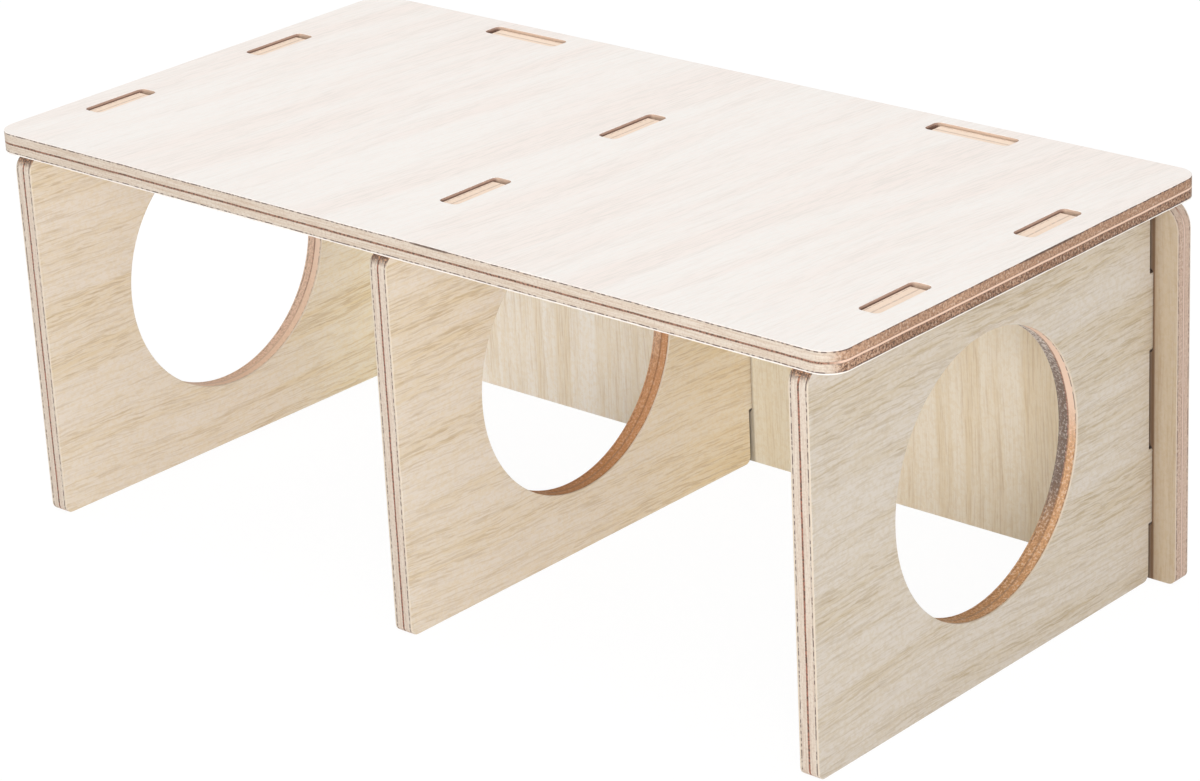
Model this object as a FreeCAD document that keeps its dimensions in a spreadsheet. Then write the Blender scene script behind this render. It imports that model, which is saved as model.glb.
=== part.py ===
import FreeCAD, Part
import os
import Sketcher

# A hamster house of flat plywood panels that plug together with tabs and slots.
# Three dividers with round doors and one long back panel stand on the floor.
# The roof drops over their tabs and lifts straight off. The front and the floor are open.
#
# Frame: origin on the floor under the middle of the roof. +X runs to the right along the
# length, +Y runs to the back panel, +Z runs up. Millimetres.
#
# Every panel is a body with its own corner at its local origin, so that each sketch
# measures from the panel's left, front or bottom edge.

SIZES = [
    ("ply", 5.5, "thickness of every panel"),
    ("roof_len", 270.0, "roof, left to right"),
    ("roof_deep", 140.0, "roof, front to back"),
    ("roof_corner", 6.0, "radius of the roof's corners in plan"),
    ("wall_high", 98.0, "floor to the underside of the roof"),
    ("end_margin", 7.0, "roof's end to the outer face of an end divider"),
    ("rear_margin", 4.5, "back panel's rear face to the roof's rear edge"),
    ("shoulder_gap", 1.0, "divider's rear shoulders to the back panel"),
    ("door_dia", 70.0, "door hole in each divider"),
    ("door_up", 51.2, "floor to the door's centre"),
    ("door_in", 64.3, "divider's front edge to the door's centre"),
    ("top_tab_len", 18.0, "tab on a divider's top edge, front to back"),
    ("top_tab_in", 25.4, "divider's front edge to its first top tab"),
    ("top_tab_pitch", 57.1, "first top tab to the second"),
    ("rear_tab_len", 19.5, "tab on a divider's rear edge, bottom to top"),
    ("rear_tab_up", 15.1, "floor to a divider's lower rear tab"),
    ("rear_tab_pitch", 45.3, "lower rear tab to the upper one"),
    ("back_tab_len", 23.0, "tab on the back panel's top edge, left to right"),
    ("back_tab_in", 50.0, "back panel's end to its nearer tab"),
    ("tab_recess", 0.8, "tab's end below the face that it comes through to"),
    ("fit_gap", 0.2, "clearance between a tab's face and its slot, each side"),
    ("slot_corner", 1.5, "radius of a slot's corners"),
    ("front_top_r", 4.0, "radius of a divider's top front corner"),
    ("foot_r", 2.0, "radius of the corners that stand on the floor"),
    ("back_top_r", 7.0, "radius of the back panel's top corners"),
]

doc = FreeCAD.newDocument("hamster_house")
sheet = doc.addObject("Spreadsheet::Sheet", "sizes")
for row, (alias, value, note) in enumerate(SIZES, start=1):
    sheet.set(f"A{row}", alias)
    sheet.set(f"B{row}", str(value))
    sheet.set(f"C{row}", note)
    sheet.setAlias(f"B{row}", alias)
doc.recompute()

NAMES = [alias for alias, value, note in SIZES]


def bound(text):
    """Turns the size names in an expression into references to the sheet."""
    out = text
    for alias in sorted(NAMES, key=len, reverse=True):
        out = out.replace(alias, f"@{NAMES.index(alias)}@")
    for index, alias in enumerate(NAMES):
        out = out.replace(f"@{index}@", f"<<sizes>>.{alias}")
    return out


# The roof's front edge to the front face of the back panel.
BACK_FACE = "(roof_deep - rear_margin - ply)"
# A slot is longer than its tab, so that the tab's square edges clear the round corners.
END_GAP = "(fit_gap + 0.6 * slot_corner)"
SLOT_R = "min(slot_corner; 0.45 * (ply + 2 * fit_gap))"
TAB_OUT = "(ply - tab_recess)"


def new_body(name, x, y, z):
    """An empty body whose corner stands at x, y, z, given as expressions of the sizes."""
    body = doc.addObject("PartDesign::Body", name)
    body.Label = name
    body.setExpression("Placement.Base.x", bound(x))
    body.setExpression("Placement.Base.y", bound(y))
    body.setExpression("Placement.Base.z", bound(z))
    return body


def new_sketch(body, name, role):
    """A sketch on one of the body's own origin planes."""
    sketch = body.newObject("Sketcher::SketchObject", name)
    plane = [f for f in body.Origin.OriginFeatures if f.Role == role][0]
    sketch.AttachmentSupport = [(plane, "")]
    sketch.MapMode = "FlatFace"
    return sketch


def hold(sketch, kind, geo, point, text):
    """Ties a point's distance from the sketch's origin, along one axis, to an expression."""
    if text == "0":
        axis = -2 if kind == "DistanceX" else -1
        sketch.addConstraint(Sketcher.Constraint("PointOnObject", geo, point, axis))
        return
    index = sketch.addConstraint(Sketcher.Constraint(kind, -1, 1, geo, point, 1.0))
    sketch.setExpression(f"Constraints[{index}]", bound(text))


def size_of(text):
    """The present value of an expression of the sizes."""
    value = sheet.evalExpression(bound(text))
    return float(getattr(value, "Value", value))


def rectangle(sketch, left, low, right, high):
    """A rectangle whose four sides are tied to expressions of the sizes."""
    xs = [size_of(left), size_of(right)]
    ys = [size_of(low), size_of(high)]
    corners = [(xs[0], ys[0]), (xs[1], ys[0]), (xs[1], ys[1]), (xs[0], ys[1])]
    first = sketch.GeometryCount
    for k in range(4):
        a = FreeCAD.Vector(*corners[k], 0)
        b = FreeCAD.Vector(*corners[(k + 1) % 4], 0)
        sketch.addGeometry(Part.LineSegment(a, b), False)
    for k in range(4):
        join = Sketcher.Constraint("Coincident", first + k, 2, first + (k + 1) % 4, 1)
        sketch.addConstraint(join)
    for k, way in enumerate(("Horizontal", "Vertical", "Horizontal", "Vertical")):
        sketch.addConstraint(Sketcher.Constraint(way, first + k))
    hold(sketch, "DistanceX", first, 1, left)
    hold(sketch, "DistanceY", first, 1, low)
    hold(sketch, "DistanceX", first + 2, 1, right)
    hold(sketch, "DistanceY", first + 2, 1, high)


def circle(sketch, across, up, diameter):
    """A circle whose centre and diameter are tied to expressions of the sizes."""
    centre = FreeCAD.Vector(size_of(across), size_of(up), 0)
    index = sketch.addGeometry(
        Part.Circle(centre, FreeCAD.Vector(0, 0, 1), size_of(diameter) / 2), False
    )
    hold(sketch, "DistanceX", index, 3, across)
    hold(sketch, "DistanceY", index, 3, up)
    ring = sketch.addConstraint(Sketcher.Constraint("Diameter", index, size_of(diameter)))
    sketch.setExpression(f"Constraints[{ring}]", bound(diameter))


def pad(body, sketch, name, backwards=False):
    """Pads a sketch by the thickness of the sheet."""
    feature = body.newObject("PartDesign::Pad", name)
    feature.Profile = sketch
    feature.setExpression("Length", bound("ply"))
    feature.Reversed = backwards
    sketch.Visibility = False
    doc.recompute()
    return feature


def pocket(body, sketch, name, backwards=True):
    """Cuts a sketch through the sheet and makes sure that it took material away."""
    before = body.Shape.Volume
    feature = body.newObject("PartDesign::Pocket", name)
    feature.Profile = sketch
    feature.Type = "ThroughAll"
    feature.Reversed = backwards
    sketch.Visibility = False
    doc.recompute()
    if body.Shape.Volume > before - 1.0:
        raise RuntimeError(f"{name} cut nothing")
    return feature


def fillet(body, name, radius, wanted):
    """Rounds the straight edges through the sheet whose middle the test picks."""
    base = body.Tip
    names = []
    for index, edge in enumerate(base.Shape.Edges, start=1):
        if edge.Curve.TypeId != "Part::GeomLine":
            continue
        a, b = edge.firstVertex().Point, edge.lastVertex().Point
        if wanted(a, b):
            names.append(f"Edge{index}")
    if not names:
        raise RuntimeError(f"{name} found no edges")
    feature = body.newObject("PartDesign::Fillet", name)
    feature.Base = (base, names)
    feature.setExpression("Radius", bound(radius))
    doc.recompute()
    return feature


def near(value, text):
    """Whether a coordinate is at the place that an expression gives."""
    return abs(value - size_of(text)) < 1e-4


# Places along the roof's length, from its left end to each divider's left face.
LEFT_X = "end_margin"
MIDDLE_X = "(roof_len - ply) / 2"
RIGHT_X = "(roof_len - end_margin - ply)"
DIVIDER_X = {"left_divider": LEFT_X, "middle_divider": MIDDLE_X, "right_divider": RIGHT_X}

# The roof: one rectangle with two slots over each divider and two over the back panel.
roof = new_body("roof", "-roof_len / 2", "-roof_deep / 2", "wall_high")
outline = new_sketch(roof, "roof_outline", "XY_Plane")
rectangle(outline, "0", "0", "roof_len", "roof_deep")
pad(roof, outline, "roof_sheet")
fillet(
    roof,
    "roof_corners",
    "roof_corner",
    lambda a, b: abs(a.x - b.x) < 1e-6 and abs(a.y - b.y) < 1e-6,
)
slots = new_sketch(roof, "roof_slots", "XY_Plane")
for place in DIVIDER_X.values():
    for start in ("top_tab_in", "(top_tab_in + top_tab_pitch)"):
        rectangle(
            slots,
            f"{place} - fit_gap",
            f"{start} - {END_GAP}",
            f"{place} + ply + fit_gap",
            f"{start} + top_tab_len + {END_GAP}",
        )
for start in ("back_tab_in", "(roof_len - back_tab_in - back_tab_len)"):
    rectangle(
        slots,
        f"{start} - {END_GAP}",
        f"{BACK_FACE} - fit_gap",
        f"{start} + back_tab_len + {END_GAP}",
        f"{BACK_FACE} + ply + fit_gap",
    )
pocket(roof, slots, "roof_slot_cuts")
fillet(
    roof,
    "roof_slot_corners",
    SLOT_R,
    lambda a, b: abs(a.x - b.x) < 1e-6
    and abs(a.y - b.y) < 1e-6
    and size_of("roof_corner") + 0.01 < a.x < size_of("roof_len - roof_corner") - 0.01
    and size_of("roof_corner") + 0.01 < a.y,
)


def make_divider(name, place):
    """A divider: round door, two tabs up into the roof and two back into the back panel."""
    body = new_body(name, f"{place} - roof_len / 2", "-roof_deep / 2", "0")
    depth = f"({BACK_FACE} - shoulder_gap)"
    outline = new_sketch(body, f"{name}_outline", "YZ_Plane")
    rectangle(outline, "0", "0", depth, "wall_high")
    pad(body, outline, f"{name}_sheet")
    fillet(
        body,
        f"{name}_feet",
        "foot_r",
        lambda a, b: abs(a.z) < 1e-6 and abs(b.z) < 1e-6 and abs(a.y - b.y) < 1e-6,
    )
    fillet(
        body,
        f"{name}_front_top",
        "front_top_r",
        lambda a, b: near(a.z, "wall_high")
        and near(b.z, "wall_high")
        and abs(a.y) < 1e-6
        and abs(b.y) < 1e-6,
    )
    tabs = new_sketch(body, f"{name}_tabs", "YZ_Plane")
    for start in ("top_tab_in", "(top_tab_in + top_tab_pitch)"):
        end = f"{start} + top_tab_len"
        rectangle(tabs, start, "wall_high", end, f"wall_high + {TAB_OUT}")
    for start in ("rear_tab_up", "(rear_tab_up + rear_tab_pitch)"):
        end = f"{start} + rear_tab_len"
        rectangle(tabs, depth, start, f"{BACK_FACE} + {TAB_OUT}", end)
    pad(body, tabs, f"{name}_tab_sheet")
    door = new_sketch(body, f"{name}_door", "YZ_Plane")
    circle(door, "door_in", "door_up", "door_dia")
    pocket(body, door, f"{name}_door_cut")
    return body


dividers = [make_divider(name, place) for name, place in DIVIDER_X.items()]

# The back panel: full length, two tabs up into the roof, two slots for each divider.
back = new_body("back_panel", "-roof_len / 2", f"{BACK_FACE} - roof_deep / 2", "0")
outline = new_sketch(back, "back_outline", "XZ_Plane")
rectangle(outline, "0", "0", "roof_len", "wall_high")
pad(back, outline, "back_sheet", backwards=True)
fillet(
    back,
    "back_feet",
    "foot_r",
    lambda a, b: abs(a.z) < 1e-6 and abs(b.z) < 1e-6 and abs(a.x - b.x) < 1e-6,
)
fillet(
    back,
    "back_top_corners",
    "back_top_r",
    lambda a, b: near(a.z, "wall_high") and near(b.z, "wall_high") and abs(a.x - b.x) < 1e-6,
)
tabs = new_sketch(back, "back_tabs", "XZ_Plane")
for start in ("back_tab_in", "(roof_len - back_tab_in - back_tab_len)"):
    rectangle(tabs, start, "wall_high", f"{start} + back_tab_len", f"wall_high + {TAB_OUT}")
pad(back, tabs, "back_tab_sheet", backwards=True)
slots = new_sketch(back, "back_slots", "XZ_Plane")
for place in DIVIDER_X.values():
    for start in ("rear_tab_up", "(rear_tab_up + rear_tab_pitch)"):
        rectangle(
            slots,
            f"{place} - fit_gap",
            f"{start} - {END_GAP}",
            f"{place} + ply + fit_gap",
            f"{start} + rear_tab_len + {END_GAP}",
        )
pocket(back, slots, "back_slot_cuts", backwards=False)
fillet(
    back,
    "back_slot_corners",
    SLOT_R,
    lambda a, b: abs(a.x - b.x) < 1e-6
    and abs(a.z - b.z) < 1e-6
    and size_of("foot_r") + 0.01 < a.z < size_of("wall_high") - size_of("back_top_r") - 0.01,
)

doc.recompute()
bodies = [roof] + dividers + [back]
for item in doc.Objects:
    if "Invalid" in item.State or "Error" in item.State:
        raise RuntimeError(f"{item.Name} is {item.State}")
for body in bodies:
    shape = body.Shape
    if shape.isNull() or not shape.isValid() or len(shape.Solids) != 1:
        raise RuntimeError(f"{body.Label} has no sound solid")

os.makedirs("parts", exist_ok=True)
for body in bodies:
    body.Shape.exportStep(f"parts/{body.Label}.step")
    box = body.Shape.BoundBox
    print(
        f"{body.Label}: {box.XLength:.2f} x {box.YLength:.2f} x {box.ZLength:.2f} mm, "
        f"from ({box.XMin:.2f}, {box.YMin:.2f}, {box.ZMin:.2f}), "
        f"{body.Shape.Volume / 1000:.1f} cm3"
    )
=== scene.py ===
import math
from types import SimpleNamespace

import bpy
import numpy as np
from mathutils import Matrix, Vector
from mathutils.geometry import tessellate_polygon


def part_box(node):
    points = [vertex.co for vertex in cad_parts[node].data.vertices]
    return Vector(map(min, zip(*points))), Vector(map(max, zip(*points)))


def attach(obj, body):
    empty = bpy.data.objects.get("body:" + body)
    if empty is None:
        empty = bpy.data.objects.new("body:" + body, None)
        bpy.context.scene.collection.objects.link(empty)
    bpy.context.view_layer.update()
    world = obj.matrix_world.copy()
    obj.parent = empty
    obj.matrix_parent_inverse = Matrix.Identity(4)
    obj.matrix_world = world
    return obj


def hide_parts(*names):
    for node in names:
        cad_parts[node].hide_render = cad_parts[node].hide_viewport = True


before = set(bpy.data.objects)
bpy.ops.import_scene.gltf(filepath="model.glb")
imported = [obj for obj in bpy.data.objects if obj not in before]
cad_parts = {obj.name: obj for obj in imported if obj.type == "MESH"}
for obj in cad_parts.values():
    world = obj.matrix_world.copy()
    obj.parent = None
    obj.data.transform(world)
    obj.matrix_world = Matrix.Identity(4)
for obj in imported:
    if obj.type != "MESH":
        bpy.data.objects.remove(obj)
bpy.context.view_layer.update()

bl_info = {
    "name": "Plywood Hamster House",
    "version": (1, 0, 0),
    "blender": (4, 5, 0),
    "location": "View3D > Sidebar > Hamster House",
    "description": "Five slotted plywood panels, their finishes, a pale stage and a camera",
    "category": "Add Mesh",
}

MM = 0.001
DIVIDERS = ("left_divider", "middle_divider", "right_divider")
ROOF_LOW, ROOF_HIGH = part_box("roof")
BACK_LOW, BACK_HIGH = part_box("back_panel")

# Outlines.
TAB_CORNER = 0.25 * MM  # radius left on the corners of a tab and of a shoulder
CORNER_SPARE = 0.6  # part of a slot's corner radius by which each of its ends is longer
ARC_STEPS = 7
BACK_ARC_STEPS = 9
ROOF_ARC_STEPS = 17
DOOR_STEPS = 160
EASE_STEPS = 5

# Finishes, in millimetres.
HALF_SHEET = (ROOF_HIGH.z - ROOF_LOW.z) / MM / 2
ROOF_FRONT, ROOF_SIDE, ROOF_REAR = ROOF_LOW.y / MM, ROOF_HIGH.x / MM, ROOF_HIGH.y / MM
WALL_TOP = ROOF_LOW.z / MM
BACK_FRONT, BACK_SIDE = BACK_LOW.y / MM, BACK_HIGH.x / MM
FACE_SHIFT = 41.0  # moves the figure of a sheet's second face away from the first one's
FRONT_MARK = (17.5, 6.5)  # centre and half length of the scorch on the roof's front edge
END_MARK = (9.0, 12.0)  # the same for the one on its right end

# Numbers of sockets, as Blender 4.5 orders them.
NORMAL_OUT, OBJECT_OUT = 1, 3  # Texture Coordinate
CAMERA_RAY, GLOSSY_RAY, TRANSMISSION_RAY = 0, 3, 6  # Light Path
MIX_SHARE, MIX_FIRST, MIX_SECOND, MIX_OUT = 0, 6, 7, 2  # Mix, set to colours
VECTOR_SCALE = 3  # Vector Math, set to scale

# Stage, in metres.
FLOOR_HALF = 4.0
LAMP_TARGET = (0, 0, 0.05)
KEY_LAMP = SimpleNamespace(place=(0.95, -1.3, 0.26), size=1.3)
TOP_LAMP = SimpleNamespace(place=(-0.2, 0.1, 1.3), size=1.5)
CLIP_NEAR, CLIP_FAR = 0.05, 20.0
SENSOR = 36.0  # millimetres


def tint(red, green, blue):
    """A colour given as the 0 to 255 values a screen shows, as linear light.

    The screen's curve is straight, with a slope of 1 / 12.92, up to 0.04045. Above it is
    ((shown + 0.055) / 1.055) to the power of 2.4.
    """
    shown = np.array((red, green, blue)) / 255
    light = np.where(shown <= 0.04045, shown / 12.92, ((shown + 0.055) / 1.055) ** 2.4)
    return (*light.tolist(), 1.0)


# ---------------------------------------------------------------------------------------
# What a user would change
# ---------------------------------------------------------------------------------------


def length(name, description, default):
    """A size in metres with its panel entry."""
    return bpy.props.FloatProperty(
        name=name, description=description, default=default, min=0.0, unit="LENGTH"
    )


def colour(name, description, red, green, blue):
    """A colour with its panel entry."""
    return bpy.props.FloatVectorProperty(
        name=name,
        description=description,
        default=tint(red, green, blue),
        size=4,
        min=0.0,
        max=1.0,
        subtype="COLOR",
    )


def angle(name, description, degrees):
    """An angle with its panel entry."""
    return bpy.props.FloatProperty(
        name=name, description=description, default=math.radians(degrees), subtype="ANGLE"
    )


def amount(name, description, default, least=0.0):
    """A plain number with its panel entry."""
    return bpy.props.FloatProperty(
        name=name, description=description, default=default, min=least
    )


class HouseSizes(bpy.types.PropertyGroup):
    """Sizes of the panels, their doors, tabs and slots."""

    ply: length("Sheet", "Thickness of every panel", ROOF_HIGH.z - ROOF_LOW.z)
    wall_high: length("Wall height", "Floor to the underside of the roof", ROOF_LOW.z)
    roof_corner: length("Roof corner", "Radius of the roof's corners", 6 * MM)
    shoulder_gap: length("Shoulder gap", "Dividers' rear shoulders to the back panel", 1 * MM)
    door_radius: length("Door radius", "Radius of each round door", 35 * MM)
    door_up: length("Door height", "Floor to the door's centre", 51.2 * MM)
    door_in: length("Door depth", "Divider's front edge to the door's centre", 64.3 * MM)
    top_tab: length("Top tab", "Length of a divider's top tabs", 18 * MM)
    top_tab_in: length("Top tab place", "Front edge to the first top tab", 25.4 * MM)
    top_tab_pitch: length("Top tab pitch", "First top tab to the second", 57.1 * MM)
    rear_tab: length("Rear tab", "Height of a divider's rear tabs", 19.5 * MM)
    rear_tab_up: length("Rear tab place", "Floor to the lower rear tab", 15.1 * MM)
    rear_tab_pitch: length("Rear tab pitch", "Lower rear tab to the upper one", 45.3 * MM)
    back_tab: length("Back tab", "Length of the back panel's tabs", 23 * MM)
    back_tab_in: length("Back tab place", "Panel's end to its nearer tab", 50 * MM)
    tab_recess: length("Tab recess", "Tab's end below the face round it", 0.8 * MM)
    fit_gap: length("Fit gap", "Clearance beside a tab in its slot", 0.2 * MM)
    slot_corner: length("Slot corner", "Radius of a slot's corners", 1.5 * MM)
    front_top: length("Divider corner", "Radius of a divider's top front corner", 4 * MM)
    foot: length("Foot corner", "Radius of the corners on the floor", 2 * MM)
    back_top: length("Back corner", "Radius of the back panel's top corners", 7 * MM)
    ease: length("Eased edge", "Radius that sanding leaves on a cut edge", 0.14 * MM)


class HouseColours(bpy.types.PropertyGroup):
    """Colours of the wood."""

    roof_pale: colour("Roof, pale", "Ground of the roof's top face", 246, 242, 238)
    roof_streak: colour("Roof, streaks", "Faint streaks on the roof", 246, 236, 230)
    roof_pore: colour("Roof, pores", "Fine grey lines on the roof", 232, 226, 220)
    wall_pale: colour("Walls, pale", "Ground of the walls' faces", 232, 221, 208)
    wall_streak: colour("Walls, streaks", "Tan bands in the walls' grain", 224, 203, 166)
    wall_pore: colour("Walls, pores", "Short dark dashes in the grain", 190, 163, 124)
    grey_pale: colour("Right wall, pale", "Ground of the right divider's faces", 211, 202, 191)
    grey_streak: colour("Right wall, streaks", "Tan bands in its grain", 196, 178, 146)
    grey_pore: colour("Right wall, pores", "Short dark dashes in its grain", 164, 142, 108)
    back_pale: colour("Back, pale", "Ground of the back panel's faces", 239, 229, 211)
    back_streak: colour("Back, streaks", "Tan bands in the back panel", 225, 205, 170)
    back_pore: colour("Back, pores", "Brown lines in the back panel", 196, 168, 132)
    core_long: colour("Core, along", "Core ply cut along its grain", 213, 201, 187)
    # Also used for the painted shade on the dividers' rear cuts at the back panel.
    core_dark: colour("Core, pores", "Open pores in the end grain", 92, 70, 58)
    glue: colour("Glue line", "Thin dark line between plies", 84, 66, 64)


class HouseStage(bpy.types.PropertyGroup):
    """Camera and light."""

    azimuth: angle("Azimuth", "Camera's turn round the house", 42.45)
    elevation: angle("Elevation", "Camera's tilt down to the floor", 22.271)
    roll: angle("Roll", "Camera's turn about its own line of sight", -2.954)
    place: bpy.props.FloatVectorProperty(
        name="Place",
        description="Camera's place",
        default=(617.466 * MM, -670.508 * MM, 413.105 * MM),
        subtype="TRANSLATION",
        unit="LENGTH",
    )
    lens: amount("Lens", "Focal length in millimetres on a 36 mm wide picture", 118.104, 1.0)
    sky: amount("Sky", "Strength of the even light", 0.5)
    key: amount("Key light", "Power of the front lamp in watts", 24.0)
    top: amount("Top light", "Power of the top lamp in watts", 8.0)


# ---------------------------------------------------------------------------------------
# Panel shapes
# ---------------------------------------------------------------------------------------


def rounded_outline(corners, radii, steps=ARC_STEPS):
    """A closed outline with rounded corners, and its directions out of the sheet.

    At each corner an arc of the given radius touches both sides. Its centre lies on the
    bisector, radius / sin(half the corner's angle) from the corner, and the arc's points
    turn evenly from one side's touching point to the other's.
    """
    corners = np.array(corners, dtype=float)
    radii = np.broadcast_to(np.array(radii, dtype=float), (len(corners),))[:, None]
    to_last = np.roll(corners, 1, axis=0) - corners
    to_next = np.roll(corners, -1, axis=0) - corners
    to_last /= np.linalg.norm(to_last, axis=1, keepdims=True)
    to_next /= np.linalg.norm(to_next, axis=1, keepdims=True)
    half = np.arccos(np.sum(to_last * to_next, axis=1, keepdims=True)) / 2
    middle = to_last + to_next
    middle /= np.linalg.norm(middle, axis=1, keepdims=True)
    centre = corners + middle * radii / np.sin(half)
    first = to_last * radii / np.tan(half) + corners - centre
    last = to_next * radii / np.tan(half) + corners - centre
    sweep = (math.pi - 2 * half)[:, None, :]
    share = np.linspace(0, 1, steps)[None, :, None]
    arm = first[:, None, :] * np.sin((1 - share) * sweep)
    arm += last[:, None, :] * np.sin(share * sweep)
    arm /= np.sin(sweep)
    turn = to_next[:, 0] * to_last[:, 1] - to_next[:, 1] * to_last[:, 0]
    out = arm / radii[:, None, :] * np.sign(turn)[:, None, None]
    return (centre[:, None, :] + arm).reshape(-1, 2), out.reshape(-1, 2)


def round_hole(across, up, radius):
    """A circle run clockwise: centre + radius * (cos, sin), and directions to its centre."""
    turn = -np.linspace(0, 2 * math.pi, DOOR_STEPS, endpoint=False)
    arm = np.stack((np.cos(turn), np.sin(turn)), axis=1)
    return np.array((across, up)) + radius * arm, -arm


def tab_slot(sizes, tab, sheet, tab_second):
    """The outline of the slot for a tab, run clockwise.

    The tab and its sheet are given as (low, high) along the slot and across it. The slot is
    the fit gap larger all round, and longer still by the part of its rounded corners that a
    square tab would meet. The tab runs along the second axis or along the first.
    """
    spare = sizes.fit_gap + CORNER_SPARE * sizes.slot_corner
    along = (tab[0] - spare, tab[1] + spare)
    across = (sheet[0] - sizes.fit_gap, sheet[1] + sizes.fit_gap)
    (left, right), (low, high) = (across, along) if tab_second else (along, across)
    corners = [(left, low), (left, high), (right, high), (right, low)]
    return rounded_outline(corners, sizes.slot_corner)


def edge_profile(ply, ease):
    """The cut edge from one face to the other, as depth in from the outline and height.

    Each end is a quarter circle of the easing's radius; the run between is straight, with a
    point at its middle and one close to each end.
    """
    turn = np.linspace(0, math.pi / 2, EASE_STEPS)
    depth = ease * (1 - np.sin(turn))
    height = ease * (1 - np.cos(turn))
    run = np.array((1.3 * ease, ply / 2, ply - 1.3 * ease))
    return (
        np.concatenate((depth, np.zeros(len(run)), depth[::-1])),
        np.concatenate((height, run, ply - height[::-1])),
    )


def sheet_mesh(name, outlines, start, ply, ease, axes):
    """A flat sheet with eased edges.

    Its edge is point(s, t) = outline(s) - depth(t) * outward(s) at start + height(t), the
    edge profile carried along each outline. Triangles fill both faces between the outlines.
    The first two of the axes are the outlines' own, the third runs through the sheet.
    """
    depth, height = edge_profile(ply, ease)
    rows = len(depth)
    flat, levels, quads, rims, base = [], [], [], [], 0
    for points, outward in outlines:
        count = len(points)
        grid = points[:, None, :] - outward[:, None, :] * depth[None, :, None]
        flat.append(grid.reshape(-1, 2))
        levels.append(np.broadcast_to(start + height, (count, rows)).reshape(-1))
        here = (np.arange(count) * rows)[:, None] + np.arange(rows - 1)[None, :] + base
        there = np.roll(here, -1, axis=0)
        quads.append(np.stack((here, there, there + 1, here + 1), axis=-1).reshape(-1, 4))
        rims.append(np.arange(count) * rows + base)
        base += count * rows
    flat = np.concatenate(flat)
    rim = np.concatenate(rims)
    loops = [[Vector((*p, 0)) for p in flat[r].tolist()] for r in rims]
    fill = rim[np.array(tessellate_polygon(loops))]
    a, b, c = flat[fill[:, 0]], flat[fill[:, 1]], flat[fill[:, 2]]
    ab, ac = b - a, c - a
    anticlockwise = ab[:, 0] * ac[:, 1] > ab[:, 1] * ac[:, 0]
    under = np.where(anticlockwise[:, None], fill[:, ::-1], fill)
    points = np.empty((len(flat), 3))
    points[:, axes[0]], points[:, axes[1]] = flat[:, 0], flat[:, 1]
    points[:, axes[2]] = np.concatenate(levels)
    walls = np.concatenate(quads)
    mesh = bpy.data.meshes.new(name)
    faces = walls.tolist() + under.tolist() + (under[:, ::-1] + rows - 1).tolist()
    mesh.from_pydata(points.tolist(), [], faces)
    smooth = np.zeros(len(faces), dtype=bool)
    smooth[: len(walls)] = True
    mesh.polygons.foreach_set("use_smooth", smooth)
    if mesh.validate(verbose=False):
        raise RuntimeError(f"{name} has faulty faces")
    return mesh


def fit_panel(name, node, mesh, material, body):
    """Puts a finished panel in the place of its CAD node."""
    panel = bpy.data.objects.new(name, mesh)
    bpy.context.collection.objects.link(panel)
    mesh.materials.append(material)
    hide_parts(node)
    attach(panel, body)


# ---------------------------------------------------------------------------------------
# Finishes
# ---------------------------------------------------------------------------------------


class Wire:
    """An output socket. Arithmetic on it adds Math nodes to its recipe."""

    def __init__(self, recipe, socket):
        self.recipe = recipe
        self.socket = socket

    def __add__(self, other):
        return self.recipe.math("ADD", self, other)

    def __radd__(self, other):
        return self.recipe.math("ADD", other, self)

    def __sub__(self, other):
        return self.recipe.math("SUBTRACT", self, other)

    def __rsub__(self, other):
        return self.recipe.math("SUBTRACT", other, self)

    def __mul__(self, other):
        return self.recipe.math("MULTIPLY", self, other)

    def __truediv__(self, other):
        return self.recipe.math("DIVIDE", self, other)

    def __abs__(self):
        return self.recipe.math("ABSOLUTE", self)


class Recipe:
    """The nodes of a material or a world, all added by one method."""

    def __init__(self, owner):
        owner.use_nodes = True
        self.owner = owner
        self.tree = owner.node_tree
        self.tree.nodes.clear()

    def node(self, kind, settings=None, sockets=None):
        """Adds a node, makes its settings, then fills its sockets with values or links."""
        node = self.tree.nodes.new(kind)
        for key, value in (settings or {}).items():
            setattr(node, key, value)
        for key, value in (sockets or {}).items():
            if isinstance(value, Wire):
                self.tree.links.new(value.socket, node.inputs[key])
            else:
                node.inputs[key].default_value = value
        return [Wire(self, socket) for socket in node.outputs]

    def math(self, operation, *values):
        return self.node("ShaderNodeMath", {"operation": operation}, dict(enumerate(values)))[0]

    def vector(self, x, y, z):
        return self.node("ShaderNodeCombineXYZ", None, {0: x, 1: y, 2: z})[0]

    def split(self, vector):
        return self.node("ShaderNodeSeparateXYZ", None, {0: vector})

    def blend(self, share, first, second, way="MIX"):
        """Mixes two colours by a share from 0 to 1."""
        settings = {"data_type": "RGBA", "blend_type": way, "clamp_factor": True}
        sockets = {MIX_SHARE: share, MIX_FIRST: first, MIX_SECOND: second}
        return self.node("ShaderNodeMix", settings, sockets)[MIX_OUT]

    def rise(self, value, low, high, least=0.0, most=1.0):
        """Goes smoothly from least to most while the value goes from low to high."""
        return self.node(
            "ShaderNodeMapRange",
            {"interpolation_type": "SMOOTHSTEP"},
            {0: value, 1: low, 2: high, 3: least, 4: most},
        )[0]

    def fall(self, value, low, high, most=1.0, least=0.0):
        """Goes smoothly from most to least while the value goes from low to high."""
        return self.rise(value, low, high, most, least)

    def spot(self, value, centre, half):
        """1 near the centre, fading to 0 over the outer third of the half width."""
        return self.fall(abs(value - centre), half * 0.67, half)

    def noise(self, place, detail=2.0, rough=0.5):
        """Noise whose features are about one unit of the place across."""
        sockets = {"Vector": place, "Scale": 1.0, "Detail": detail, "Roughness": rough}
        return self.node("ShaderNodeTexNoise", None, sockets)[0]

    def seen(self):
        """1 for the camera's own rays, also after a reflection or through glass."""
        paths = self.node("ShaderNodeLightPath")
        bent = self.math("MAXIMUM", paths[GLOSSY_RAY], paths[TRANSMISSION_RAY])
        return self.math("MAXIMUM", paths[CAMERA_RAY], bent)


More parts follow.
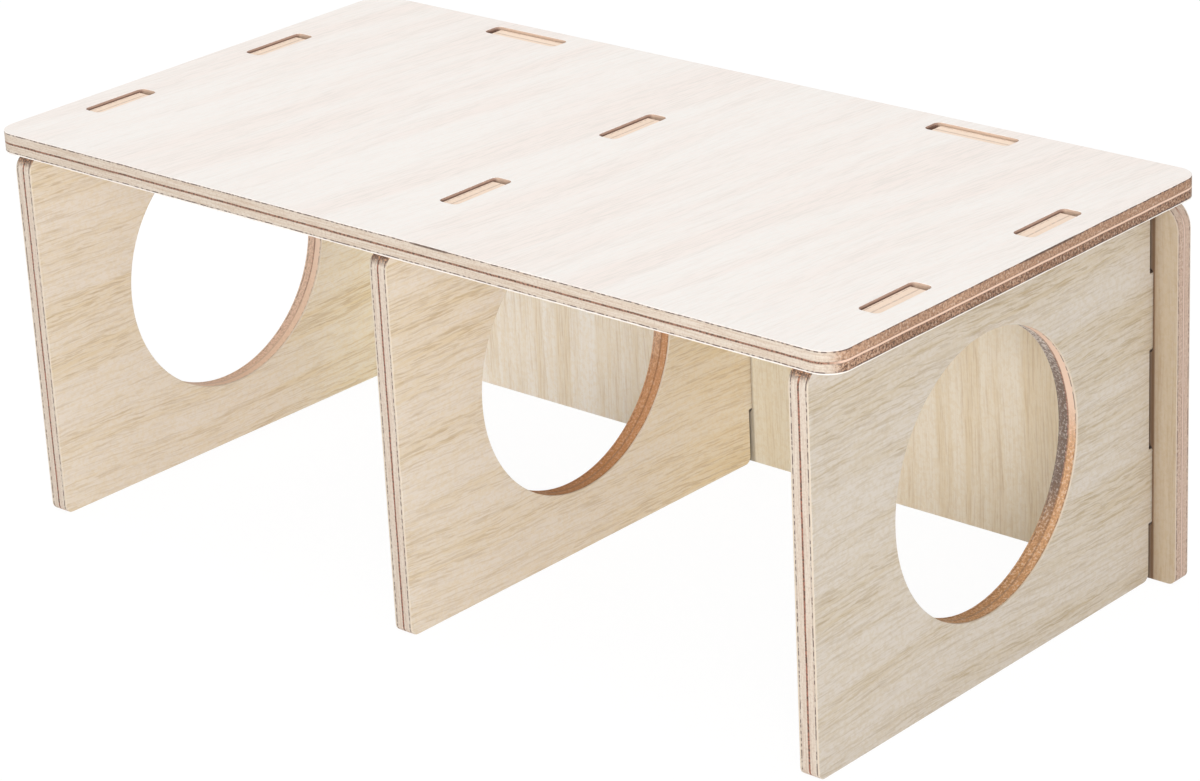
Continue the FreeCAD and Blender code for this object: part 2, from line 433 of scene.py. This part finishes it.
class Grain:
    """How one panel's face veneer is figured.

    The shades are its ground, its streaks and its pores. Tilt is the grain's slope, and band
    the number of wide bands in a millimetre. Bands, lines, hairs and dash are the shares in
    which these marks show. The seed moves the figure, and wavy is the grain's waviness in
    millimetres.
    """

    def __init__(self, shades, tilt, band, bands, lines, hairs, dash, seed, wavy=1.0):
        self.pale, self.streak, self.pore = shades
        self.tilt, self.band, self.seed = tilt, band, seed
        self.bands, self.lines, self.hairs, self.dash = bands, lines, hairs, dash
        self.wavy = wavy


def veneer(recipe, grain, along, cross, side):
    """The face veneer's colour and the height of its surface.

    Along and cross are millimetres along and across the grain. The side is a number that
    differs between the panel's two faces, so that their figures differ.
    """
    seed = side + grain.seed

    def figure(offset, per_cross, per_along, shift, detail=1.0, rough=0.5):
        """Noise with so many features in a millimetre across the grain and along it."""
        place = recipe.vector(offset * per_cross, along * per_along, seed + shift)
        return recipe.noise(place, detail, rough)

    sway = figure(cross, 0.012, 0.009, 0.0)
    wobble = figure(cross, 0.3, 0.14, 9.0, 2.0, 0.6)
    line = cross + along * grain.tilt + sway * 9.0 + wobble * grain.wavy
    slant = line + along * 0.05
    wide = figure(line, grain.band, 0.005, 0.0, 2.0, 0.6)
    fine = figure(line, 0.9, 0.03, 3.1, 3.0, 0.65)
    thin = figure(line, 2.2, 0.07, 7.3, 2.0)
    dash = figure(slant, 2.2, 0.15, 5.7)
    vein = figure(slant, 0.55, 0.016, 19.0)
    fuzz = figure(cross, 1.1, 0.8, 1.7, 2.0, 0.6)

    # Fine marks are denser in the wide bands than between them.
    bands = recipe.rise(wide, 0.40, 0.64)
    lines = recipe.rise(fine, 0.49, 0.61) * (0.35 + bands * 0.65)
    hairs = recipe.rise(thin, 0.53, 0.63) * (0.3 + bands * 0.7)
    pores = recipe.rise(dash, 0.56, 0.65) * (0.3 + bands * 0.7)
    # A vein is where its noise crosses the middle of its range, broken by the hairs.
    veins = recipe.fall(abs(vein - 0.5), 0.008, 0.03) * recipe.rise(thin, 0.4, 0.55)

    shade = recipe.blend(bands * grain.bands, grain.pale, grain.streak)
    shade = recipe.blend(recipe.rise(fuzz, 0.45, 0.62) * 0.3, shade, grain.streak)
    shade = recipe.blend(lines * grain.lines, shade, grain.streak)
    shade = recipe.blend(hairs * grain.hairs, shade, grain.pore)
    shade = recipe.blend(pores * grain.dash, shade, grain.pore)
    shade = recipe.blend(veins * grain.dash * 0.55, shade, grain.pore)
    return shade, fine * 0.4 - pores


def plywood(name, node, axes, grain, shades, cuts):
    """A plywood sheet's finish: veneer on its faces, and its plies on every cut edge.

    A point's depth through the sheet says which ply it is in. Face veneers and the middle
    ply have their grain along the faces' grain, and the two thick plies across it. Where a
    ply's own grain points out of the cut it shows end grain, elsewhere long grain.

    The axes are those through the sheet, along its faces' grain and across it. The cuts hold
    the colours of the cut plies, the shares in which the upper and the lower thick ply
    darken where they show end grain, the depth of the dark line under the veneer of the low
    face (skin) and of the high one (skin_far), and that line's strength.
    """
    through, along, cross = axes
    recipe = Recipe(bpy.data.materials.new(name))
    place = recipe.node("ShaderNodeTexCoord")
    sockets = {0: place[OBJECT_OUT], VECTOR_SCALE: 1 / MM}
    mm = recipe.node("ShaderNodeVectorMath", {"operation": "SCALE"}, sockets)[0]
    axis = recipe.split(mm)
    facing = recipe.split(place[NORMAL_OUT])
    inward = axis[through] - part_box(node)[0][through] / MM
    length_way, cross_way = axis[along], axis[cross]
    side = recipe.math("GREATER_THAN", inward, HALF_SHEET) * FACE_SHIFT
    face, face_height = veneer(recipe, grain, length_way, cross_way, side)

    # How the cut runs: 1 where the faces' grain points out of it, 0 where it runs along it.
    over = recipe.rise(abs(facing[along]), 0.25, 0.95)
    flat = recipe.rise(abs(facing[through]), 0.55, 0.85)

    def even(per_mm, shift, detail=1.0, rough=0.5):
        """Noise with so many features in a millimetre, the same in all directions."""
        spread = recipe.vector(axis[0] * per_mm, axis[1] * per_mm, axis[2] * per_mm + shift)
        return recipe.noise(spread, detail, rough)

    speck = even(1.6, 0.0, 3.0, 0.7)
    dots = even(0.9, grain.seed)
    patch = even(0.045, grain.seed)
    # The plies wander a little, so the depth that picks them does too.
    spread = recipe.vector(length_way * 0.12, cross_way * 0.12, grain.seed + 11.0)
    depth = inward + (recipe.noise(spread) - 0.5) * 0.22
    lean = inward * 1.6
    spread = recipe.vector(length_way * 0.1 + lean, cross_way * 0.1 + lean, inward * 3.0)
    fibre = recipe.noise(spread, 3.0, 0.6)

    # Thick plies, cut along their grain.
    fibres = recipe.rise(fibre, 0.42, 0.62, 0.0, 0.6)
    long_grain = recipe.blend(fibres, shades.core_long, cuts.core_deep)
    fleck = recipe.rise(speck, 0.5, 0.6, 0.0, 0.3)
    long_grain = recipe.blend(fleck, long_grain, tint(170, 140, 120))

    # Thick plies, cut across their grain, the lower one darker and more open.
    low, high = HALF_SHEET - 0.15, HALF_SHEET + 0.15
    darker = recipe.fall(depth, low, high, cuts.lower, cuts.upper)
    holes = recipe.rise(speck, 0.49, 0.58) * darker
    stain = recipe.rise(patch, 0.3, 0.55, 0.45, 1.0) * darker
    end_grain = recipe.blend(stain, cuts.end, cuts.end_deep)
    end_grain = recipe.blend(holes, end_grain, shades.core_dark)
    end_grain = recipe.blend(recipe.fall(speck, 0.36, 0.46, 0.5), end_grain, shades.core_long)
    core = recipe.blend(over, end_grain, long_grain)

    # Middle ply: a brown dotted line end on, a pale one along its grain.
    off_middle = abs(depth - HALF_SHEET)
    middle = recipe.fall(off_middle, 0.18, 0.34)
    middle_end = recipe.blend(recipe.rise(speck, 0.46, 0.56), cuts.middle, shades.core_dark)
    middle_shade = recipe.blend(over, cuts.middle_long, middle_end)
    cut = recipe.blend(middle, core, middle_shade)
    flank = recipe.fall(abs(off_middle - 0.34), 0.03, 0.12)
    cut = recipe.blend(flank * (1 - over) * 0.45, cut, shades.glue)

    # Thin dark lines under both face veneers, broken into dots.
    low, high = HALF_SHEET - 0.1, HALF_SHEET + 0.1
    veneer_deep = recipe.rise(depth, low, high, cuts.skin, cuts.skin_far)
    under_veneer = HALF_SHEET - off_middle - veneer_deep
    line = recipe.fall(abs(under_veneer), 0.09, 0.24) * recipe.rise(dots, 0.44, 0.54, 0.25)
    cut = recipe.blend(line * cuts.line, cut, shades.glue)
    rim = recipe.fall(under_veneer, -0.2, -0.08)
    cut = recipe.blend(rim, cut, cuts.rim)

    return SimpleNamespace(
        recipe=recipe,
        axis=axis,
        facing=facing,
        depth=depth,
        flat=flat,
        face=face,
        face_height=face_height,
        cut=cut,
        rim=rim,
        lines=recipe.math("MAXIMUM", middle, line),
        speck=speck,
        dots=dots,
        holes=holes,
    )


def close(sheet):
    """Joins the faces and the cut edges in one matt wood surface."""
    recipe = sheet.recipe
    shade = recipe.blend(sheet.flat, sheet.cut, sheet.face)
    relief = sheet.face_height * sheet.flat - sheet.holes * (1 - sheet.flat)
    sockets = {"Strength": 0.35, "Distance": 0.12 * MM, "Height": relief}
    bump = recipe.node("ShaderNodeBump", None, sockets)[0]
    rough = recipe.rise(sheet.dots, 0.3, 0.7, 0.5, 0.64)
    surface = recipe.node(
        "ShaderNodeBsdfPrincipled",
        None,
        {"Base Color": shade, "Roughness": rough, "Normal": bump, "Specular IOR Level": 0.3},
    )[0]
    recipe.node("ShaderNodeOutputMaterial", None, {0: surface})
    return recipe.owner


def pale_tab_ends(sheet):
    """Shows the ends of the tabs in the roof's slots paler than the other cuts."""
    recipe = sheet.recipe
    tab = recipe.rise(sheet.axis[2], WALL_TOP + 2.5, WALL_TOP + 3.5)
    share = tab * (0.92 - sheet.lines * 0.3)
    sheet.cut = recipe.blend(share, sheet.cut, tint(252, 230, 210))


ROOF_CUTS = SimpleNamespace(
    core_deep=tint(190, 168, 146),
    end=tint(208, 166, 136),
    end_deep=tint(146, 108, 82),
    upper=0.5,
    lower=0.9,
    middle=tint(158, 118, 98),
    middle_long=tint(238, 204, 182),
    skin=0.5,
    skin_far=0.24,
    line=0.9,
    rim=tint(243, 236, 229),
)


def roof_finish(shades):
    """Pale roof: brown end grain at its ends, and small scorch marks on two edges."""
    colours = (shades.roof_pale, shades.roof_streak, shades.roof_pore)
    grain = Grain(
        colours, tilt=-0.12, band=0.06, bands=0.85, lines=0.6, hairs=0.55, dash=0.5, seed=2.0
    )
    sheet = plywood("roof_plywood", "roof", (2, 1, 0), grain, shades, ROOF_CUTS)
    recipe, (x, y, _) = sheet.recipe, sheet.axis

    # One mark on the front edge, right of the middle divider, and one on the right end.
    front = recipe.spot(x, *FRONT_MARK) * recipe.fall(y, ROOF_FRONT + 0.5, ROOF_FRONT + 1.5)
    flank = recipe.spot(y, *END_MARK) * recipe.rise(x, ROOF_SIDE - 1.0, ROOF_SIDE - 0.4)
    marks = recipe.math("MAXIMUM", front, flank) * recipe.rise(sheet.depth, 4.8, 5.05)
    cut = recipe.blend(marks * 0.8, sheet.cut, shades.core_dark)

    # The slots' walls: cuts that lie away from the outline, browned most under the top face.
    inside = recipe.fall(abs(x), ROOF_SIDE - 5.5, ROOF_SIDE - 4.5)
    inside = inside * recipe.fall(abs(y), ROOF_REAR - 4.0, ROOF_REAR - 3.0)
    near_top = recipe.rise(sheet.depth, 4.75, 5.1)
    scorch = recipe.blend(near_top, tint(112, 78, 66), tint(176, 146, 134))
    side_wall = recipe.rise(abs(sheet.facing[0]), 0.3, 0.9, 0.3, 0.85)
    slot_wall = recipe.blend(side_wall, tint(236, 212, 190), scorch)
    sheet.cut = recipe.blend(inside, cut, slot_wall)
    return close(sheet)


DIVIDER_CUTS = SimpleNamespace(
    core_deep=tint(192, 170, 152),
    end=tint(214, 168, 128),
    end_deep=tint(190, 132, 86),
    upper=0.2,
    lower=0.5,
    middle=tint(158, 106, 88),
    middle_long=tint(226, 192, 166),
    skin=0.6,
    skin_far=0.6,
    line=0.9,
    rim=tint(212, 198, 180),
)

# Each divider's figure and its door. The left half of the door's wall goes from the colour
# left to left_top at its top, and the right half is right. Below the height toast_up, a
# share of the door's radius, toast covers both by the share burnt. Pores is how far open
# pores show there, and the last entry makes the face paler towards the rear by multiplying its
# colour.
LOOKS = {
    "left_divider": SimpleNamespace(
        seed=23.0,
        tilt=0.0,
        toast_up=-0.1,
        left=tint(214, 180, 156),
        left_top=tint(226, 206, 190),
        right=tint(228, 200, 178),
        toast=tint(220, 184, 154),
        burnt=0.6,
        pores=0.25,
        paler_to_rear=(1.24, 1.3, 1.28, 1),
    ),
    "middle_divider": SimpleNamespace(
        seed=5.0,
        tilt=0.01,
        toast_up=0.6,
        left=tint(208, 168, 136),
        left_top=tint(224, 194, 168),
        right=tint(214, 170, 132),
        toast=tint(194, 134, 82),
        burnt=0.9,
        pores=0.4,
        paler_to_rear=(1.18, 1.18, 1.12, 1),
    ),
    "right_divider": SimpleNamespace(
        seed=31.0,
        tilt=-0.01,
        toast_up=0.25,
        left=tint(104, 88, 80),
        left_top=tint(226, 216, 208),
        right=tint(228, 198, 176),
        toast=tint(212, 158, 106),
        burnt=0.95,
        pores=0.8,
        paler_to_rear=(1, 1, 1, 1),
    ),
}


def door_wall(sheet, shades, sizes, look):
    """The wall of a round door: how much of it shows, and its colour.

    The wall is as wide as the sheet is thick. Its half towards the sheet's left face has
    other colours than its right half. Heights are shares of the door's radius.
    """
    recipe = sheet.recipe
    y = sheet.axis[1] - (ROOF_LOW.y + sizes.door_in) / MM
    z = sheet.axis[2] - sizes.door_up / MM
    radius = sizes.door_radius / MM
    reach = recipe.math("SQRT", y * y + z * z)
    in_door = recipe.fall(reach, radius + 0.5, radius + 1.0)
    right = recipe.rise(sheet.depth, 2.5, 2.9)
    up = z / radius
    burnt = recipe.fall(up + (1 - right) * 0.6, look.toast_up - 0.5, look.toast_up)

    pores = recipe.rise(sheet.speck, 0.46, 0.56) * look.pores
    glints = recipe.fall(sheet.speck, 0.40, 0.46, 0.7) * look.pores
    left = recipe.blend(recipe.rise(up, 0.2, 0.95), look.left, look.left_top)
    left = recipe.blend(pores, left, shades.core_dark)
    left = recipe.blend(glints * 0.6, left, look.left_top)
    wall = recipe.blend(right, left, look.right)
    browned = recipe.blend(pores * 0.45, look.toast, shades.core_dark)
    browned = recipe.blend(glints, browned, shades.core_long)
    browned = recipe.blend(sheet.lines * 0.45, browned, shades.core_dark)
    wall = recipe.blend(burnt * look.burnt, wall, browned)

    # The veneer of the right face stays as it is, and the plies' lines show where not burnt.
    not_rim = recipe.math("MAXIMUM", 1 - sheet.rim, recipe.fall(sheet.depth, 4.0, 4.5))
    plain = 1 - sheet.lines * (1 - burnt) * 0.75
    return in_door * not_rim * plain * 0.9, wall


def divider_finish(node, shades):
    """Divider: tan figure, toasted door edge, pale tab ends under the open slots."""
    look, sizes = LOOKS[node], bpy.context.scene.house_sizes
    colours = (shades.wall_pale, shades.wall_streak, shades.wall_pore)
    if node == "right_divider":
        colours = (shades.grey_pale, shades.grey_streak, shades.grey_pore)
    grain = Grain(
        colours, look.tilt, band=0.09, bands=0.3, lines=0.5, hairs=0.34, dash=0.42, seed=look.seed
    )
    sheet = plywood(f"{node}_plywood", node, (0, 1, 2), grain, shades, DIVIDER_CUTS)
    recipe, deep, height = sheet.recipe, sheet.axis[1], sheet.axis[2]
    share, wall = door_wall(sheet, shades, sizes, look)
    cut = recipe.blend(share, sheet.cut, wall)

    # The cuts at the back panel get painted shade, and those just under the roof are browned.
    rear = recipe.rise(deep, BACK_FRONT - 2.5, BACK_FRONT - 1.5)
    rear = rear * recipe.fall(deep, BACK_FRONT + 2.5, BACK_FRONT + 4.0)
    cut = recipe.blend(rear * 0.8, cut, shades.core_dark)
    brow = recipe.rise(height, WALL_TOP - 3.2, WALL_TOP - 1.0)
    open_pores = recipe.rise(sheet.speck, 0.42, 0.5)
    brow_shade = recipe.blend(open_pores, tint(196, 150, 116), shades.core_dark)
    sheet.cut = recipe.blend(brow * 0.85, cut, brow_shade)
    pale_tab_ends(sheet)
    # The face gets paler from y = 0 to 52 mm, towards the rear.
    rearward_share = recipe.rise(deep, 0.0, 52.0)
    sheet.face = recipe.blend(rearward_share, sheet.face, look.paler_to_rear, "MULTIPLY")
    return close(sheet)


BACK_CUTS = SimpleNamespace(
    core_deep=tint(200, 172, 156),
    end=tint(200, 174, 156),
    end_deep=tint(182, 148, 126),
    upper=0.12,
    lower=0.25,
    middle=tint(160, 118, 98),
    middle_long=tint(214, 188, 172),
    skin=0.55,
    skin_far=0.55,
    line=0.7,
    rim=tint(204, 186, 168),
)


def back_finish(shades):
    """Back panel: upright figure with tan bands and thin brown lines."""
    colours = (shades.back_pale, shades.back_streak, shades.back_pore)
    grain = Grain(
        colours, 0.0, band=0.13, bands=0.5, lines=0.4, hairs=0.34, dash=0.18, seed=17.0, wavy=0.4
    )
    sheet = plywood("back_panel_plywood", "back_panel", (1, 2, 0), grain, shades, BACK_CUTS)
    recipe, (x, y, _) = sheet.recipe, sheet.axis
    ahead = recipe.fall(y, BACK_FRONT + 1, BACK_FRONT + 2)
    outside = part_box("right_divider")[1].x / MM

    # The front face is greyer with painted shade just right of the middle divider, paler in the
    # left compartment, and darker with painted shade on the face outside the right divider.
    shaded = recipe.fall(x, 12.0, 30.0) * recipe.rise(x, -4.0, 0.0) * ahead
    paler = recipe.fall(x, -50.0, 30.0, 1.0, 0.15) * ahead
    strip_shade = recipe.rise(x, BACK_SIDE - 7.2, BACK_SIDE - 6.8) * ahead
    face = recipe.blend(shaded, sheet.face, (0.89, 0.89, 0.85, 1), "MULTIPLY")
    face = recipe.blend(paler, face, (1.16, 1.22, 1.36, 1), "MULTIPLY")
    face = recipe.blend(strip_shade, face, (0.56, 0.51, 0.46, 1), "MULTIPLY")

    # Painted shade darkens the gaps behind the dividers' shoulders, the right one most.
    gap_shade = 0.0
    for node, share in zip(DIVIDERS, (0.35, 0.35, 0.85)):
        gap_shade = gap_shade + recipe.spot(x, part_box(node)[1].x / MM - 0.5, 1.5) * share
    face = recipe.blend(gap_shade * ahead, face, tint(92, 66, 48))
    # Painted shade also darkens the face beside the right divider's outer face, fading out over 4
    # mm.
    near = recipe.fall(x, outside, outside + 4.0, 0.35)
    near = near * recipe.rise(x, outside - 1.0, outside)
    sheet.face = recipe.blend(near * ahead, face, tint(120, 88, 60))
    pale_tab_ends(sheet)
    return close(sheet)


# ---------------------------------------------------------------------------------------
# Operators
# ---------------------------------------------------------------------------------------


class HOUSE_OT_roof(bpy.types.Operator):
    """Builds the roof with its eight slots"""

    bl_idname = "house.roof"
    bl_label = "Roof"

    def execute(self, context):
        s = context.scene.house_sizes
        x0, x1, y0, y1 = ROOF_LOW.x, ROOF_HIGH.x, ROOF_LOW.y, ROOF_HIGH.y
        corners = [(x0, y0), (x1, y0), (x1, y1), (x0, y1)]
        outlines = [rounded_outline(corners, s.roof_corner, ROOF_ARC_STEPS)]
        for node in DIVIDERS:
            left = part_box(node)[0].x
            for start in (y0 + s.top_tab_in, y0 + s.top_tab_in + s.top_tab_pitch):
                tab, sheet = (start, start + s.top_tab), (left, left + s.ply)
                outlines.append(tab_slot(s, tab, sheet, tab_second=True))
        for start in (x0 + s.back_tab_in, x1 - s.back_tab_in - s.back_tab):
            tab, sheet = (start, start + s.back_tab), (BACK_LOW.y, BACK_HIGH.y)
            outlines.append(tab_slot(s, tab, sheet, tab_second=False))
        mesh = sheet_mesh("roof_panel", outlines, ROOF_LOW.z, s.ply, s.ease, (0, 1, 2))
        material = roof_finish(context.scene.house_colours)
        fit_panel("roof_panel", "roof", mesh, material, "roof")
        return {"FINISHED"}


class HOUSE_OT_dividers(bpy.types.Operator):
    """Builds the three dividers, each with a round door and four tabs"""

    bl_idname = "house.dividers"
    bl_label = "Dividers"

    def execute(self, context):
        s = context.scene.house_sizes
        front, shoulder = ROOF_LOW.y, BACK_LOW.y - s.shoulder_gap
        tip = BACK_LOW.y + s.ply - s.tab_recess
        top, peak = s.wall_high, s.wall_high + s.ply - s.tab_recess
        first = front + s.top_tab_in
        second = first + s.top_tab_pitch
        corners = [(front, 0), (shoulder, 0)]
        for low in (s.rear_tab_up, s.rear_tab_up + s.rear_tab_pitch):
            high = low + s.rear_tab
            corners += [(shoulder, low), (tip, low), (tip, high), (shoulder, high)]
        corners.append((shoulder, top))
        for start in (second, first):
            end = start + s.top_tab
            corners += [(end, top), (end, peak), (start, peak), (start, top)]
        corners.append((front, top))
        radii = np.full(len(corners), TAB_CORNER)
        radii[:2] = s.foot
        radii[-1] = s.front_top
        for node in DIVIDERS:
            outlines = [
                rounded_outline(corners, radii),
                round_hole(front + s.door_in, s.door_up, s.door_radius),
            ]
            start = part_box(node)[0].x
            mesh = sheet_mesh(f"{node}_panel", outlines, start, s.ply, s.ease, (1, 2, 0))
            material = divider_finish(node, context.scene.house_colours)
            fit_panel(f"{node}_panel", node, mesh, material, "walls")
        return {"FINISHED"}


class HOUSE_OT_back(bpy.types.Operator):
    """Builds the back panel with two tabs and six slots"""

    bl_idname = "house.back"
    bl_label = "Back panel"

    def execute(self, context):
        s = context.scene.house_sizes
        x0, x1 = BACK_LOW.x, BACK_HIGH.x
        top, peak = s.wall_high, s.wall_high + s.ply - s.tab_recess
        corners = [(0, x0), (top, x0)]
        for start in (x0 + s.back_tab_in, x1 - s.back_tab_in - s.back_tab):
            end = start + s.back_tab
            corners += [(top, start), (peak, start), (peak, end), (top, end)]
        corners += [(top, x1), (0, x1)]
        radii = np.full(len(corners), TAB_CORNER)
        radii[[0, -1]] = s.foot
        radii[[1, -2]] = s.back_top
        outlines = [rounded_outline(corners, radii, BACK_ARC_STEPS)]
        for node in DIVIDERS:
            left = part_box(node)[0].x
            for low in (s.rear_tab_up, s.rear_tab_up + s.rear_tab_pitch):
                tab, sheet = (low, low + s.rear_tab), (left, left + s.ply)
                outlines.append(tab_slot(s, tab, sheet, tab_second=False))
        mesh = sheet_mesh("back_panel_sheet", outlines, BACK_LOW.y, s.ply, s.ease, (2, 0, 1))
        material = back_finish(context.scene.house_colours)
        fit_panel("back_panel_sheet", "back_panel", mesh, material, "walls")
        return {"FINISHED"}


def add_floor(context):
    """White paper: matt to the light, and nearly plain white to the camera."""
    half = FLOOR_HALF
    corners = [(-half, -half, 0), (half, -half, 0), (half, half, 0), (-half, half, 0)]
    mesh = bpy.data.meshes.new("floor")
    mesh.from_pydata(corners, [], [(0, 1, 2, 3)])
    floor = bpy.data.objects.new("floor", mesh)
    context.collection.objects.link(floor)
    recipe = Recipe(bpy.data.materials.new("floor_paper"))
    paper = recipe.node(
        "ShaderNodeBsdfPrincipled",
        None,
        {"Base Color": (0.94, 0.94, 0.94, 1), "Roughness": 0.9, "Specular IOR Level": 0.1},
    )[0]
    white = recipe.node("ShaderNodeEmission", None, {0: (1, 1, 1, 1), 1: 1.03})[0]
    share = recipe.seen() * 0.92
    mixed = recipe.node("ShaderNodeMixShader", None, {0: share, 1: paper, 2: white})[0]
    recipe.node("ShaderNodeOutputMaterial", None, {0: mixed})
    mesh.materials.append(recipe.owner)


def add_sky(context, strength):
    """An even light from all sides, plain white where the camera sees it."""
    world = bpy.data.worlds.new("studio")
    context.scene.world = world
    recipe = Recipe(world)
    pale = (1.0, 0.99, 0.975, 1)
    light = recipe.node("ShaderNodeBackground", None, {0: pale, 1: strength})[0]
    white = recipe.node("ShaderNodeBackground", None, {0: (1, 1, 1, 1), 1: 1.0})[0]
    mixed = recipe.node("ShaderNodeMixShader", None, {0: recipe.seen(), 1: light, 2: white})[0]
    recipe.node("ShaderNodeOutputWorld", None, {0: mixed})


def add_lamp(context, name, lamp, power):
    """A round soft lamp turned to the house. It doesn't show in reflections."""
    data = bpy.data.lights.new(name, "AREA")
    data.shape, data.size, data.energy = "DISK", lamp.size, power
    obj = bpy.data.objects.new(name, data)
    context.collection.objects.link(obj)
    way = (Vector(LAMP_TARGET) - Vector(lamp.place)).to_track_quat("-Z", "Y")
    obj.matrix_world = Matrix.LocRotScale(Vector(lamp.place), way, None)
    obj.visible_glossy = False


def add_camera(context, s):
    """A camera turned by azimuth and elevation, then rolled about its line of sight."""
    data = bpy.data.cameras.new("camera")
    data.sensor_width, data.lens = SENSOR, s.lens
    data.clip_start, data.clip_end = CLIP_NEAR, CLIP_FAR
    camera = bpy.data.objects.new("camera", data)
    context.collection.objects.link(camera)
    az, el, roll = s.azimuth, s.elevation, s.roll
    ahead = Vector((-math.cos(el) * math.sin(az), math.cos(el) * math.cos(az), -math.sin(el)))
    level = ahead.cross(Vector((0, 0, 1))).normalized()
    upright = level.cross(ahead)
    right = math.cos(roll) * level + math.sin(roll) * upright
    up = math.cos(roll) * upright - math.sin(roll) * level
    turn = Matrix((right, up, -ahead)).transposed().to_4x4()
    camera.matrix_world = Matrix.Translation(Vector(s.place)) @ turn
    context.scene.camera = camera


class HOUSE_OT_stage(bpy.types.Operator):
    """Sets up the floor, the even light, two soft lamps and the camera"""

    bl_idname = "house.stage"
    bl_label = "Stage"

    def execute(self, context):
        s = context.scene.house_stage
        context.scene.view_settings.view_transform = "Standard"
        add_floor(context)
        add_sky(context, s.sky)
        add_lamp(context, "key_lamp", KEY_LAMP, s.key)
        add_lamp(context, "top_lamp", TOP_LAMP, s.top)
        add_camera(context, s)
        return {"FINISHED"}


class HOUSE_PT_panel(bpy.types.Panel):
    """Lists the pieces, the sizes, the colours and the stage"""

    bl_label = "Hamster House"
    bl_idname = "HOUSE_PT_panel"
    bl_space_type = "VIEW_3D"
    bl_region_type = "UI"
    bl_category = "Hamster House"

    def draw(self, context):
        scene = context.scene
        for operator in (HOUSE_OT_roof, HOUSE_OT_dividers, HOUSE_OT_back, HOUSE_OT_stage):
            self.layout.operator(operator.bl_idname)
        for group in (scene.house_sizes, scene.house_colours, scene.house_stage):
            box = self.layout.box()
            for key in type(group).__annotations__:
                box.prop(group, key)


CLASSES = (
    HouseSizes,
    HouseColours,
    HouseStage,
    HOUSE_OT_roof,
    HOUSE_OT_dividers,
    HOUSE_OT_back,
    HOUSE_OT_stage,
    HOUSE_PT_panel,
)


def register():
    for item in CLASSES:
        bpy.utils.register_class(item)
    bpy.types.Scene.house_sizes = bpy.props.PointerProperty(type=HouseSizes)
    bpy.types.Scene.house_colours = bpy.props.PointerProperty(type=HouseColours)
    bpy.types.Scene.house_stage = bpy.props.PointerProperty(type=HouseStage)


def unregister():
    del bpy.types.Scene.house_stage
    del bpy.types.Scene.house_colours
    del bpy.types.Scene.house_sizes
    for item in reversed(CLASSES):
        bpy.utils.unregister_class(item)


def main():
    register()
    bpy.ops.house.roof()
    bpy.ops.house.dividers()
    bpy.ops.house.back()
    bpy.ops.house.stage()


if __name__ == "__main__":
    main()
